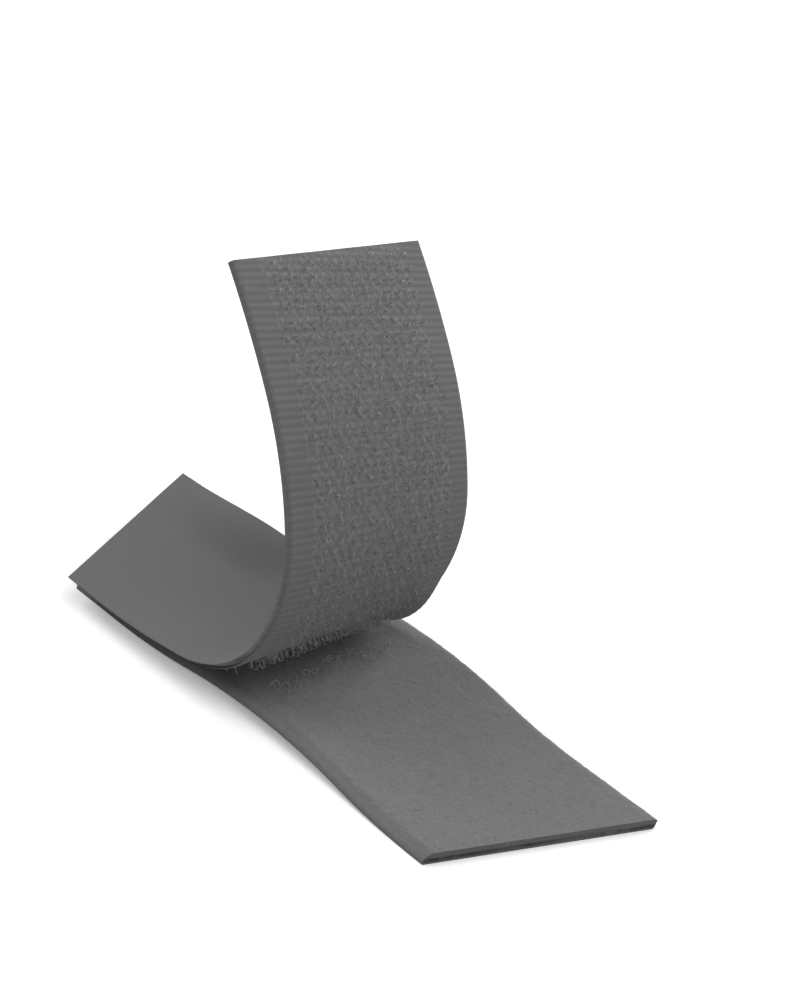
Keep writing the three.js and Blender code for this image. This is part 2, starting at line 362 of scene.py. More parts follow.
def new_piece(name, bm, *materials, sharp=40):
    """Makes a bmesh into an object at the origin."""
    for face in bm.faces:
        face.smooth = True
    mesh = bpy.data.meshes.new(name)
    bm.to_mesh(mesh)
    bm.free()
    mesh.set_sharp_from_angle(angle=math.radians(sharp))
    for material in materials:
        mesh.materials.append(material)
    piece = bpy.data.objects.new(name, mesh)
    bpy.context.scene.collection.objects.link(piece)
    return piece


def steps_between(low, high, step):
    """Even places from low to high, both included."""
    parts = max(1, round((high - low) / step))
    return [low + (high - low) * i / parts for i in range(parts + 1)]


def draw_out(bm, geom, step, steps):
    """Extrudes edges in a straight line, by even steps."""
    made = bmesh.ops.spin(
        bm, geom=geom, cent=(0, 0, 0), axis=(0, 1, 0), dvec=step, angle=0.0, steps=steps,
    )
    return made["geom_last"]


def sweep_flat(section, begin, end, step):
    """A flat length of tape, swept along X from its cross-section."""
    bm = bmesh.new()
    ring = [bm.verts.new((begin, y, z)) for y, z in section]
    edges = [bm.edges.new(pair) for pair in zip(ring, ring[1:] + ring[:1])]
    steps = max(1, round((end - begin) / step))
    draw_out(bm, ring + edges, ((end - begin) / steps, 0, 0), steps)
    return bm


def close_ends(bm):
    bmesh.ops.holes_fill(bm, edges=[edge for edge in bm.edges if edge.is_boundary], sides=0)


def cut_away(bm, point, outward):
    """Cuts off what lies past a plane."""
    geom = bm.verts[:] + bm.edges[:] + bm.faces[:]
    bmesh.ops.bisect_plane(bm, geom=geom, plane_co=point, plane_no=outward, clear_outer=True)


def trim_to_cuts(bm, lines, sizes):
    """Cuts a flat length of loop tape at its two slanted ends."""
    cut_away(bm, (-sizes.mated_length, HOOK_MIDDLE, 0.0), (-1.0, -lines.mated_lean, 0.0))
    cut_away(bm, (sizes.free_length, LOOP_MIDDLE, 0.0), (1.0, -lines.free_lean, 0.0))


def lay_out_uv(bm, skew=0.0):
    """UV in millimetres on the flat tape, so the weave runs on from stretch to stretch."""
    layer = bm.loops.layers.uv.new("UVMap")
    for face in bm.faces:
        for corner in face.loops:
            along, across, _ = corner.vert.co
            corner[layer].uv = (across / MM, (along + skew * across) / MM)


def bend_flat(bm, point):
    """Moves a flat mesh to where its tape runs."""
    for vert in bm.verts:
        vert.co = point(vert.co)


def verts_of(geom):
    return [item for item in geom if isinstance(item, bmesh.types.BMVert)]


def copy_into(bm, template, place):
    """Adds one placed copy of a template mesh."""
    copy = template.copy()
    copy.transform(place)
    bm.from_mesh(copy, face_normals=False, vertex_normals=False)
    bpy.data.meshes.remove(copy)


def template_mesh(name, bm):
    """Keeps a small shape for copying, with its faces turned outwards."""
    bmesh.ops.recalc_face_normals(bm, faces=bm.faces)
    if bm.calc_volume(signed=True) < 0:
        bmesh.ops.reverse_faces(bm, faces=bm.faces)
    mesh = bpy.data.meshes.new(name)
    bm.to_mesh(mesh)
    bm.free()
    return mesh


def strand_ring(bm, radius, sides, middle=(0, 0, 0)):
    """The cross-section of a strand, as its vertices and edges."""
    place = Matrix.Translation(middle)
    made = bmesh.ops.create_circle(bm, segments=sides, radius=radius, matrix=place)["verts"]
    return made + list(dict.fromkeys(edge for vert in made for edge in vert.link_edges))


# Shader building

def node(tree, kind, place, **settings):
    """Adds a node and sets its options."""
    made = tree.nodes.new(kind)
    made.location = place
    for name, value in settings.items():
        setattr(made, name, value)
    return made


def math_node(tree, place, operation, *values):
    """Adds a Math node, links or sets its inputs in turn, and gives its output."""
    made = node(tree, "ShaderNodeMath", place, operation=operation)
    for target, value in zip(made.inputs, values):
        if isinstance(value, bpy.types.NodeSocket):
            tree.links.new(value, target)
        else:
            target.default_value = value
    return made.outputs[0]


def set_inputs(made, values):
    for name, value in values.items():
        made.inputs[name].default_value = value


def start_group(name, settings):
    """Begins a node group that takes a place, a colour and its own settings."""
    group = bpy.data.node_groups.new(name, "ShaderNodeTree")
    sockets = [("Vector", "INPUT", "NodeSocketVector"), ("Colour", "INPUT", "NodeSocketColor")]
    sockets += [(setting, "INPUT", "NodeSocketFloat") for setting in settings]
    sockets += [("Colour", "OUTPUT", "NodeSocketColor"), ("Height", "OUTPUT", "NodeSocketFloat")]
    for label, way, kind in sockets:
        made = group.interface.new_socket(name=label, in_out=way, socket_type=kind)
        if label in settings:
            made.default_value = settings[label]
    return group


def end_group(group, colour, shade, height):
    """Ends a node group that puts out the colour times a shade, and a height."""
    tint = node(group, "ShaderNodeMix", (420, 160), data_type="RGBA", blend_type="MULTIPLY")
    tint.inputs["Factor"].default_value = 1.0
    outputs = node(group, "NodeGroupOutput", (620, 0))
    group.links.new(colour, tint.inputs["A"])
    group.links.new(shade, tint.inputs["B"])
    group.links.new(tint.outputs["Result"], outputs.inputs["Colour"])
    group.links.new(height, outputs.inputs["Height"])
    return group


def fibre_speckle():
    """Node group: soft mottling and fine fibre grain, as a colour and a height."""
    group = bpy.data.node_groups.get("Fibre speckle")
    if group:
        return group
    group = start_group(
        "Fibre speckle", {"Grain scale": 9000.0, "Grain": 0.2, "Mottle scale": 300.0, "Mottle": 0.1},
    )
    inputs = node(group, "NodeGroupInput", (-900, 0)).outputs
    heights = []
    shade = 1.0
    for name, detail, y in (("Grain", 3.0, 160), ("Mottle", 2.0, -160)):
        texture = node(group, "ShaderNodeTexNoise", (-640, y))
        texture.inputs["Detail"].default_value = detail
        group.links.new(inputs["Vector"], texture.inputs["Vector"])
        group.links.new(inputs[f"{name} scale"], texture.inputs["Scale"])
        heights.append(texture.outputs["Fac"])
        centred = math_node(group, (-420, y), "SUBTRACT", heights[-1], 0.5)
        scaled = math_node(group, (-240, y), "MULTIPLY", centred, inputs[name])
        shade = math_node(group, (-60, y), "ADD", scaled, shade)
    return end_group(group, inputs["Colour"], shade, heights[0])


def yarn_rows():
    """Node group: crossing yarns on a UV map in millimetres, as a height and a colour made lighter on the
    crowns and darker in the valleys, painted light and shade.
    """
    group = bpy.data.node_groups.get("Yarn rows")
    if group:
        return group
    group = start_group(
        "Yarn rows", {"Tint": 0.08, "Across pitch": 0.28, "Along pitch": 0.63, "Row share": 0.0},
    )
    inputs = node(group, "NodeGroupInput", (-900, 0)).outputs
    parts = node(group, "ShaderNodeSeparateXYZ", (-700, 0))
    group.links.new(inputs["Vector"], parts.inputs[0])
    waves = []
    for axis, pitch, y in (("X", "Across pitch", 160), ("Y", "Along pitch", -160)):
        turns = math_node(group, (-500, y), "DIVIDE", parts.outputs[axis], inputs[pitch])
        phase = math_node(group, (-320, y), "MULTIPLY", turns, 2 * math.pi)
        waves.append(math_node(group, (-140, y), "COSINE", phase))
    across, along = waves
    crowns = math_node(group, (60, 0), "MULTIPLY", across, along)
    square = math_node(group, (60, -200), "MULTIPLY", along, along)
    rows = math_node(group, (60, -400), "MULTIPLY_ADD", square, 2.0, -1.0)
    relief = math_node(group, (240, -100), "MULTIPLY_ADD", rows, inputs["Row share"], crowns)
    # Lighter on the crowns and darker in the valleys, following the relief: painted light and shade
    shade = math_node(group, (240, 160), "MULTIPLY_ADD", relief, inputs["Tint"], 1.0)
    return end_group(group, inputs["Colour"], shade, relief)


def place_group(tree, group, place, values):
    made = node(tree, "ShaderNodeGroup", place, node_tree=group)
    set_inputs(made, values)
    return made


# Depth of a bump of strength 1
YARN_DEPTH = 0.03 * MM
FIBRE_DEPTH = 0.05 * MM


def fibre_material(name, colour, roughness, sheen, specular, speckle, bump, rows=None):
    """Fibre speckle on Object coordinates; rows add yarns over it along the tape's UV map, with painted
    shade in their valleys and painted light on their crowns.
    """
    material = bpy.data.materials.get(name)
    if material:
        return material
    material = bpy.data.materials.new(name)
    material.use_nodes = True
    tree = material.node_tree
    link = tree.links.new
    shader = tree.nodes["Principled BSDF"]
    set_inputs(shader, {
        "Roughness": roughness, "Specular IOR Level": specular,
        "Sheen Weight": sheen, "Sheen Roughness": 0.5,
    })
    where = node(tree, "ShaderNodeTexCoord", (-1000, 0)).outputs
    surface = place_group(tree, fibre_speckle(), (-720, 100), {"Colour": (*colour, 1.0), **speckle})
    link(where["Object"], surface.inputs["Vector"])
    depth = FIBRE_DEPTH
    if rows:
        yarns = place_group(tree, yarn_rows(), (-460, 0), rows)
        link(where["UV"], yarns.inputs["Vector"])
        link(surface.outputs["Colour"], yarns.inputs["Colour"])
        surface, depth = yarns, YARN_DEPTH
    link(surface.outputs["Colour"], shader.inputs["Base Color"])
    relief = node(tree, "ShaderNodeBump", (-220, -300))
    set_inputs(relief, {"Strength": bump, "Distance": depth})
    link(surface.outputs["Height"], relief.inputs["Height"])
    link(relief.outputs["Normal"], shader.inputs["Normal"])
    return material


def coating_material(colours):
    """Matt resin over the weave: smooth, with the yarns faintly showing through as bumps and as faint
    painted shade.
    """
    return fibre_material(
        "Back coating", colours.coating, roughness=0.62, sheen=0.0, specular=0.15,
        speckle={"Grain scale": 5200.0, "Grain": 0.05, "Mottle scale": 180.0, "Mottle": 0.06}, bump=0.06,
        rows={"Tint": 0.005, "Across pitch": 0.56, "Along pitch": 0.63},
    )


def selvedge_material(name, colour):
    """Plain woven edge with cross ribs."""
    return fibre_material(
        name, colour, roughness=0.75, sheen=0.1, specular=0.1,
        speckle={"Grain scale": 5000.0, "Grain": 0.2, "Mottle scale": 260.0, "Mottle": 0.08}, bump=0.08,
        rows={"Tint": 0.036, "Across pitch": 0.56, "Along pitch": 1.26, "Row share": 1.5},
    )


def ground_material(colours):
    """Woven ground that the hooks stand in, with its warp crowns showing."""
    return fibre_material(
        "Woven ground", colours.weave, roughness=0.75, sheen=0.1, specular=0.1,
        speckle={"Grain scale": 3500.0, "Grain": 1.1, "Mottle scale": 400.0, "Mottle": 0.12}, bump=0.15,
        rows={"Tint": 0.04, "Across pitch": 1.12, "Along pitch": 1.26, "Row share": 0.8},
    )


def nylon_material(colours):
    """Bent monofilament with a slight gloss."""
    return fibre_material(
        "Hook nylon", colours.nylon, roughness=0.45, sheen=0.2, specular=0.25,
        speckle={"Grain scale": 2500.0, "Grain": 0.3, "Mottle scale": 500.0, "Mottle": 0.3}, bump=0.1,
    )


def pile_material(name, colour):
    """Soft fibres with a dull sheen."""
    return fibre_material(
        name, colour, roughness=0.85, sheen=0.2, specular=0.05,
        speckle={"Grain scale": 4200.0, "Grain": 0.5, "Mottle scale": 320.0, "Mottle": 0.1}, bump=0.25,
    )


# Slots of a tape's materials; the rim slot holds the selvedge weave in a darker grey, painted shade on the
# sides
COAT, SELVEDGE, GROUND, SHADED_RIM = range(4)

# How far a face's normal leans for it to count as the coated back, the hook field or the rim, the sides with
# painted shade
LEANS_BACK, LEANS_FACE, LEANS_OUT = 0.5, 0.3, 0.6

# Past this share of a tape's thickness a point is on its woven face
FACE_FROM = 0.97

# Relief of the ground: share of the warp crowns and share of the cross rows
CROWN_SHARE, ROW_SHARE = 0.6, 0.4

# Crease and tuck down the edge, in shares of the thickness from the coated back
CREASE_AT, CREASE_REACH = 0.68, 0.2
TUCK_FROM, TUCK_GROWS = 0.1, 0.4

# Share of the way to the tuck's end where it begins to ease
TUCK_EASES = 0.3


class TAPE_OT_hook_tape(bpy.types.Operator):
    """Weave the hook tape's four stretches, with ribbed selvedges and a coated back"""

    bl_idname = "tape.hook_tape"
    bl_label = "Hook Tape"

    def execute(self, context):
        sizes, colours = context.scene.tape_sizes, context.scene.tape_colours
        lines = TapeLines(sizes)
        section = self.section(sizes)
        for index, (name, *_) in enumerate(STRETCHES):
            begin, end = lines.span(index)
            bm = sweep_flat(section, begin, end, sizes.step)
            self.raise_weave(bm, sizes)
            self.crease_edges(bm, sizes, lines)
            area = HOOK_WIDTH * (end - begin)
            if index == 0:
                cut_away(bm, (-sizes.mated_length, HOOK_MIDDLE, 0.0), (-1.0, -lines.mated_lean, 0.0))
                area -= HOOK_WIDTH**2 * lines.mated_lean / 2
            close_ends(bm)
            lay_out_uv(bm, sizes.skew)
            bmesh.ops.recalc_face_normals(bm, faces=bm.faces)
            for face in bm.faces:
                face.material_index = self.finish_of(face)
            bend_flat(bm, lines.hook_point)
            piece = new_piece(
                f"hook_tape_{name}", bm, coating_material(colours),
                selvedge_material("Woven selvedge", colours.selvedge), ground_material(colours),
                # The rim is the selvedge weave in the darker rim grey: painted shade on the sides
                selvedge_material("Woven rim with painted shade", colours.rim),
            )
            lines.bend_with_hinge(piece, index)
            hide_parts(*TAPE_NODES[name])
        return {"FINISHED"}

    def section(self, sizes):
        """The tape's cross-section, with marks down each side for the crease between coating and weave."""
        base, edge, corner = sizes.hook_base, sizes.edge_round, sizes.face_round
        upright = [(0.0, drop) for drop in (0.12, 0.5, 0.62, 0.74)]
        side = [(edge, 0.0), *upright, (corner / 4, 0.88), (corner, 1.0)]
        marks = steps_between(HOOK_NEAR, FIELD_NEAR, sizes.selvedge_step)[1:]
        marks += steps_between(FIELD_NEAR, FIELD_FAR, sizes.field_step)[1:]
        marks += steps_between(FIELD_FAR, HOOK_FAR, sizes.selvedge_step)[1:-1]
        near = [(HOOK_NEAR + inset, -drop * base) for inset, drop in side]
        far = [(HOOK_FAR - inset, -drop * base) for inset, drop in reversed(side)]
        face = [(y, -base) for y in marks if near[-1][0] + edge < y < far[0][0] - edge]
        back = [(y, 0.0) for y in steps_between(near[0][0], far[-1][0], 2 * sizes.selvedge_step)[1:-1]]
        return near + face + far + back[::-1]

    def raise_weave(self, bm, sizes):
        """Ribs across the selvedges, and crossing yarns in the hook field."""
        for vert in bm.verts:
            along, across, above = vert.co
            if above > -sizes.hook_base * FACE_FROM:
                continue
            pick = math.pi * (along + sizes.skew * across) / sizes.rib_pitch
            if FIELD_NEAR < across < FIELD_FAR:
                crown = math.cos(2 * math.pi * across / sizes.yarn_pitch) * math.cos(pick)
                vert.co.z -= sizes.weave_height * (CROWN_SHARE * crown + ROW_SHARE * math.cos(2 * pick))
            elif abs(across - HOOK_MIDDLE) < HOOK_WIDTH / 2 - 2 * sizes.edge_round:
                vert.co.z -= sizes.rib_height * math.cos(2 * pick)

    def crease_edges(self, bm, sizes, lines):
        """Creases both edges, more towards the peel line, and draws them in where the tapes are pressed."""
        for vert in bm.verts:
            along, across, above = vert.co
            drop = -above / sizes.hook_base
            inward = 1 if across < HOOK_MIDDLE else -1
            inset = HOOK_WIDTH / 2 - abs(across - HOOK_MIDDLE)
            if drop < TUCK_FROM or inset > sizes.tuck_reach:
                continue
            near_peel = 1 - max(0.0, along) / lines.tail_end
            crease = sizes.crease * near_peel * max(0.0, 1 - abs(drop - CREASE_AT) / CREASE_REACH)
            pressed = smooth_step(sizes.tuck_end, TUCK_EASES * sizes.tuck_end, along)
            pressed *= 1 - inset / sizes.tuck_reach
            tuck = sizes.tuck * pressed * min(1.0, (drop - TUCK_FROM) / TUCK_GROWS)
            vert.co.y += inward * (crease + tuck)

    def finish_of(self, face):
        """The slot of the material that a face of the flat tape shows."""
        if face.normal.z > LEANS_BACK:
            return COAT
        if face.normal.z < -LEANS_FACE and FIELD_NEAR < face.calc_center_median().y < FIELD_FAR:
            return GROUND
        # Faces turned sideways take the rim's darker grey, painted shade
        return SHADED_RIM if abs(face.normal.y) > LEANS_OUT else SELVEDGE


HOOK_SEED = 11

# How far hooks stray at random, in millimetres across and along
STRAY_ACROSS, STRAY_ALONG = 0.2, 0.22

# How far hooks lean at random, in radians, and how tall they are
HOOK_LEAN = 0.14
HOOK_TALL = (0.82, 1.05)

# How deep hooks are sunk in the ground, and where along the tail they become lower
HOOK_SUNK = 0.06 * MM
HOOKS_LOWER = (3 * MM, 12 * MM)

# Mesh steps of a hook, taper of its tip, and place of its cut leg in crooks along and radii aside
STEM_STEPS, CROOK_STEPS = 2, 7
TIP_TAPER = 0.6
LEG_ALONG, LEG_ASIDE = 1.9, 2.2


class TAPE_OT_hook_field(bpy.types.Operator):
    """Plant rows of bent nylon hooks on the hook tape's face"""

    bl_idname = "tape.hook_field"
    bl_label = "Hook Field"

    def execute(self, context):
        sizes, hooks = context.scene.tape_sizes, context.scene.tape_hooks
        lines = TapeLines(sizes)
        template = self.hook(hooks)
        draw = random.Random(HOOK_SEED)
        columns = int((FIELD_FAR - FIELD_NEAR) / hooks.column_pitch)
        first = (FIELD_NEAR + FIELD_FAR - (columns - 1) * hooks.column_pitch) / 2
        for index, (name, *_) in enumerate(STRETCHES):
            begin, end = lines.span(index)
            bm = bmesh.new()
            for row in range(math.ceil(begin / hooks.row_pitch), math.ceil(end / hooks.row_pitch)):
                for column in range(columns):
                    middle = first + column * hooks.column_pitch
                    self.plant(bm, template, draw, lines, sizes, hooks, row, column % 2, middle)
            bend_flat(bm, lines.hook_point)
            nylon = nylon_material(context.scene.tape_colours)
            piece = new_piece(f"hooks_{name}_field", bm, nylon, sharp=60)
            lines.bend_with_hinge(piece, index)
            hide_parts(*HOOK_NODES[name])
        bpy.data.meshes.remove(template)
        return {"FINISHED"}

    def plant(self, bm, template, draw, lines, sizes, hooks, row, odd, middle):
        """Stands one hook near its place in the flat field, if that is clear of the cut ends."""
        across = middle + draw.gauss(0, STRAY_ACROSS) * MM
        along = (row + 0.5 * odd) * hooks.row_pitch - sizes.skew * across + draw.gauss(0, STRAY_ALONG) * MM
        facing = (math.pi if odd else 0.0) + draw.gauss(0, 1) * hooks.turn
        lean, tall = draw.gauss(0, HOOK_LEAN), draw.uniform(*HOOK_TALL)
        tall *= 1 - hooks.pressed * smooth_step(*HOOKS_LOWER, along)
        if along > lines.tail_end - hooks.end_margin:
            return
        if along < 0 and not lines.between_cuts(along, across, hooks.end_margin, sizes):
            return
        foot = Matrix.Translation((along, across, -sizes.hook_base + HOOK_SUNK))
        turned = foot @ Matrix.Rotation(facing, 4, "Z") @ Matrix.Rotation(lean, 4, "X")
        copy_into(bm, template, turned @ Matrix.Diagonal((1, 1, tall, 1)))

    def hook(self, hooks):
        """One hook hanging from the tape's face, with the cut leg beside it."""
        bm = bmesh.new()
        stem = hooks.height - hooks.crook - hooks.radius
        ring = strand_ring(bm, hooks.radius, hooks.sides)
        top = draw_out(bm, ring, (0, 0, -stem / STEM_STEPS), STEM_STEPS)
        bent = bmesh.ops.spin(
            bm, geom=top, cent=(hooks.crook, 0, -stem), axis=(0, 1, 0), angle=-hooks.crook_turn,
            steps=CROOK_STEPS,
        )
        tip = verts_of(bent["geom_last"])
        middle = sum((vert.co for vert in tip), Vector()) / len(tip)
        bmesh.ops.scale(bm, vec=[TIP_TAPER] * 3, space=Matrix.Translation(-middle), verts=tip)
        aside = (LEG_ALONG * hooks.crook, LEG_ASIDE * hooks.radius, 0)
        leg = strand_ring(bm, hooks.radius, hooks.sides, middle=aside)
        draw_out(bm, leg, (-hooks.radius / STEM_STEPS, 0, -hooks.stub / STEM_STEPS), STEM_STEPS)
        close_ends(bm)
        return template_mesh("hook", bm)


class TAPE_OT_loop_tape(bpy.types.Operator):
    """Weave the loop tape's ground, with its coated back and slanted cuts"""

    bl_idname = "tape.loop_tape"
    bl_label = "Loop Tape"

    def execute(self, context):
        sizes, colours = context.scene.tape_sizes, context.scene.tape_colours
        lines = TapeLines(sizes)
        base, edge = sizes.loop_base, sizes.edge_round
        side = [(2 * edge, 0.0), (edge, 0.16), (edge, 0.7), (4 * edge, 1.0)]
        near = [(LOOP_NEAR + inset, rise * base) for inset, rise in side]
        far = [(LOOP_FAR - inset, rise * base) for inset, rise in reversed(side)]
        marks = steps_between(near[-1][0], far[0][0], 2 * sizes.selvedge_step)[1:-1]
        section = near + [(y, base) for y in marks] + far + [(y, 0.0) for y in marks[::-4]]
        bm = sweep_flat(section, lines.loop_start, lines.loop_end, sizes.step)
        for vert in bm.verts:
            if vert.co.z > base * FACE_FROM:
                vert.co.z += sizes.rib_height * math.sin(2 * math.pi * vert.co.x / sizes.rib_pitch)
        trim_to_cuts(bm, lines, sizes)
        close_ends(bm)
        lay_out_uv(bm)
        bmesh.ops.recalc_face_normals(bm, faces=bm.faces)
        for face in bm.faces:
            face.material_index = COAT if face.normal.z < -LEANS_BACK else SELVEDGE
        bend_flat(bm, lines.loop_point)
        weave = selvedge_material("Woven selvedge", colours.selvedge)
        piece = new_piece("loop_tape_ground", bm, coating_material(colours), weave)
        lines.bend_with_end(piece, sizes)
        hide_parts("loop_coat", "loop_ground", "loop_end_coat", "loop_end_ground")
        return {"FINISHED"}


# Matted base: inset from the tape's edges, sizes of its unevenness, and share of the broad one
FELT_INSET = 0.03 * MM
FELT_FINE, FELT_BROAD = 0.2 * MM, 0.7 * MM
BROAD_SHARE = 0.7

# How much of the pile's height is lost at the near and far edges
FALL_NEAR, FALL_FAR = 0.9, 0.25

# Level of the underside in shares of the ground, a level just above it, and the width of its strips
UNDERSIDE, ABOVE_UNDERSIDE = 0.4, 0.5
STRIP = 1.0 * MM

# Loops: how many kinds, their mesh, and how far they widen, twist and lean
LOOP_SEED = 23
LOOP_KINDS = 9
LOOP_SIDES, LOOP_STEPS = 3, 6
LOOP_WIDENS, LOOP_TWIST, LOOP_LEAN = 0.4, 0.5, 0.5

# Where loops stand: spacing where the tapes are pressed, depth in the base, and bare margins
MATED_SPACING = 0.62 * MM
LOOP_SUNK, PULLED_SUNK = 0.13 * MM, 0.15 * MM
NEAR_MARGIN, FAR_MARGIN, CUT_MARGIN = 0.7 * MM, 0.2 * MM, 0.2 * MM
LOOP_SIZE, LOOP_TILT = (0.6, 1.2), 0.5

# Pulled loops: where across the field, how far past the peel line in millimetres, and how they stand
PULLED_ACROSS = (0.15, 1.05)
PULLED_PAST = (6.2, 0.7)
PULLED_SIZE, PULLED_TILT, PULLED_RISE = (1.3, 2.1), 0.6, 3.3


class TAPE_OT_loop_pile(bpy.types.Operator):
    """Raise the loop tape's pile: a matted base and thousands of fine loops"""

    bl_idname = "tape.loop_pile"
    bl_label = "Loop Pile"

    def execute(self, context):
        sizes, pile = context.scene.tape_sizes, context.scene.tape_pile
        lines = TapeLines(sizes)
        colours = context.scene.tape_colours
        self.felt(lines, sizes, pile, pile_material("Loop pile", colours.pile))
        # The loops are the pile's fibre in a lighter grey: painted light
        material = pile_material("Pile loops with painted light", colours.loops)
        draw = random.Random(LOOP_SEED)
        templates = [self.loop(pile, draw) for _ in range(LOOP_KINDS)]
        reach = BEND_REACH + pile.loop_width
        bands = (
            ("mated", lines.loop_start, 0.0, MATED_SPACING, "loop_tape"),
            ("peel", 0.0, sizes.flex_at - reach, pile.spacing, "loop_tape"),
            ("flex", sizes.flex_at - reach, sizes.flex_at + reach, pile.spacing, None),
            ("end", sizes.flex_at + reach, lines.loop_end, pile.spacing, "loop_end"),
        )
        for name, low, high, spacing, body in bands:
            bm = bmesh.new()
            self.scatter(bm, templates, draw, lines, sizes, low, high, spacing)
            if name == "peel":
                self.pull_loops(bm, templates, draw, sizes, pile)
            bend_flat(bm, lines.loop_point)
            piece = new_piece(f"pile_{name}", bm, material, sharp=80)
            if body:
                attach(piece, body)
            else:
                lines.bend_with_end(piece, sizes)
        for template in templates:
            bpy.data.meshes.remove(template)
        return {"FINISHED"}

    def felt(self, lines, sizes, pile, material):
        """The matted base that the loops stand in."""
        bm = bmesh.new()
        run, width = lines.loop_end - lines.loop_start, LOOP_WIDTH - 2 * FELT_INSET
        level = sizes.loop_base + sizes.pile - 2 * pile.felt_relief
        middle = Matrix.Translation(((lines.loop_end + lines.loop_start) / 2, LOOP_MIDDLE, level))
        bmesh.ops.create_grid(
            bm, x_segments=round(run / pile.felt_step), y_segments=round(width / pile.felt_step), size=0.5,
            matrix=middle @ Matrix.Diagonal((run, width, 1, 1)),
        )
        trim_to_cuts(bm, lines, sizes)
        for vert in bm.verts:
            fine, broad = noise.noise(vert.co / FELT_FINE), noise.noise(vert.co / FELT_BROAD)
            edge = min(1.0, (LOOP_WIDTH / 2 - abs(vert.co.y - LOOP_MIDDLE)) / pile.felt_round)
            fall = FALL_NEAR if vert.co.y < LOOP_MIDDLE else FALL_FAR
            uneven = pile.felt_relief * (fine + BROAD_SHARE * broad)
            vert.co.z += uneven - fall * sizes.pile * (1 - edge) ** 2
        rim = [edge for edge in bm.edges if edge.is_boundary]
        for vert in verts_of(bmesh.ops.extrude_edge_only(bm, edges=rim)["geom"]):
            vert.co.z = sizes.loop_base * UNDERSIDE
        close_ends(bm)
        self.divide_underside(bm, lines, sizes)
        bmesh.ops.recalc_face_normals(bm, faces=bm.faces)
        bend_flat(bm, lines.loop_point)
        piece = new_piece("pile_base", bm, material, sharp=80)
        lines.bend_with_end(piece, sizes)
        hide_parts("loop_pile", "loop_end_pile")

    def divide_underside(self, bm, lines, sizes):
        """Cuts the matted base's flat underside into strips, so that it can bend with the tape."""
        level = sizes.loop_base * ABOVE_UNDERSIDE
        under = [face for face in bm.faces if all(vert.co.z < level for vert in face.verts)]
        edges = dict.fromkeys(edge for face in under for edge in face.edges)
        verts = dict.fromkeys(vert for face in under for vert in face.verts)
        geom = [*under, *edges, *verts]
        for along in steps_between(lines.loop_start, lines.loop_end, STRIP)[1:-1]:
            cut = bmesh.ops.bisect_plane(bm, geom=geom, plane_co=(along, 0, 0), plane_no=(1, 0, 0))
            geom = cut["geom"]

    def loop(self, pile, draw):
        """One loop of fibre: an arch, drawn out and twisted a little."""
        bm = bmesh.new()
        half = pile.loop_width / 2
        ring = strand_ring(bm, pile.strand, LOOP_SIDES)
        bmesh.ops.spin(bm, geom=ring, cent=(half, 0, 0), axis=(0, 1, 0), angle=math.pi, steps=LOOP_STEPS)
        bmesh.ops.translate(bm, vec=(-half, 0, 0), verts=bm.verts)
        rise = 2 * pile.loop_height / pile.loop_width
        twist, lean = draw.uniform(-LOOP_TWIST, LOOP_TWIST), draw.uniform(-LOOP_LEAN, LOOP_LEAN)
        for vert in bm.verts:
            x, y, z = vert.co
            wider = 1 + LOOP_WIDENS * z / pile.loop_width
            aside = y + lean * z + twist * x * z / pile.loop_width
            vert.co = (x * wider, aside, z * rise)
        close_ends(bm)
        return template_mesh("loop", bm)

    def scatter(self, bm, templates, draw, lines, sizes, low, high, spacing):
        """Plants loops over a band of the flat tape."""
        foot = sizes.loop_base + sizes.pile - LOOP_SUNK
        for x in steps_between(low + spacing / 2, high - spacing / 2, spacing):
            for y in steps_between(LOOP_NEAR + NEAR_MARGIN, LOOP_FAR - FAR_MARGIN, spacing):
                stray = [draw.uniform(-0.5, 0.5) * spacing for _ in range(2)]
                at = Vector((x + stray[0], y + stray[1], foot))
                template, size = draw.choice(templates), draw.uniform(*LOOP_SIZE)
                if lines.between_cuts(at.x, at.y, CUT_MARGIN, sizes):
                    self.plant(bm, template, draw, at, size, LOOP_TILT)

    def plant(self, bm, template, draw, at, size, tilt, rise=1.0):
        """Stands one loop at a place on the flat tape, turned at random."""
        turn = Matrix.Rotation(draw.uniform(0, 2 * math.pi), 4, "Z")
        turn = turn @ Matrix.Rotation(draw.gauss(0, tilt), 4, "X")
        scale = Matrix.Diagonal((size, size, size * rise, 1.0))
        copy_into(bm, template, Matrix.Translation(at) @ turn @ scale)

    def pull_loops(self, bm, templates, draw, sizes, pile):
        """Longer loops that the hooks have drawn up along the peel line."""
        foot = sizes.loop_base + sizes.pile - PULLED_SUNK
        for _ in range(pile.pulled):
            share = draw.uniform(*PULLED_ACROSS)
            past = draw.gauss(*PULLED_PAST) * MM
            at = Vector((past, FIELD_NEAR + share * (FIELD_FAR - FIELD_NEAR), foot))
            template, size = draw.choice(templates), draw.uniform(*PULLED_SIZE)
            self.plant(bm, template, draw, at, size, PULLED_TILT, rise=PULLED_RISE)


# Wide soft lamps: which way each one lies, and its strength
SOFT_LAMPS = (
    ("Left", (-0.53, -0.53, 0.67), 1.75),
    ("Top", (0.2, -0.35, 0.91), 1.05),
    ("Right", (0.82, -0.48, 0.31), 0.75),
    ("Back", (0.0, 0.95, 0.31), 2.63),
)
LAMP_SPREAD = math.radians(40)
LAMP_DISTANCE = 0.3
SKY_STRENGTH = 0.015
WHITE = (1.0, 1.0, 1.0, 1.0)

# Floor: its radius, the grey that light bounces off, and the glow that keeps it pale to the camera
FLOOR_RADIUS = 3.0
FLOOR_BOUNCE = (0.3, 0.3, 0.3, 1.0)
FLOOR_GLOW = 0.25


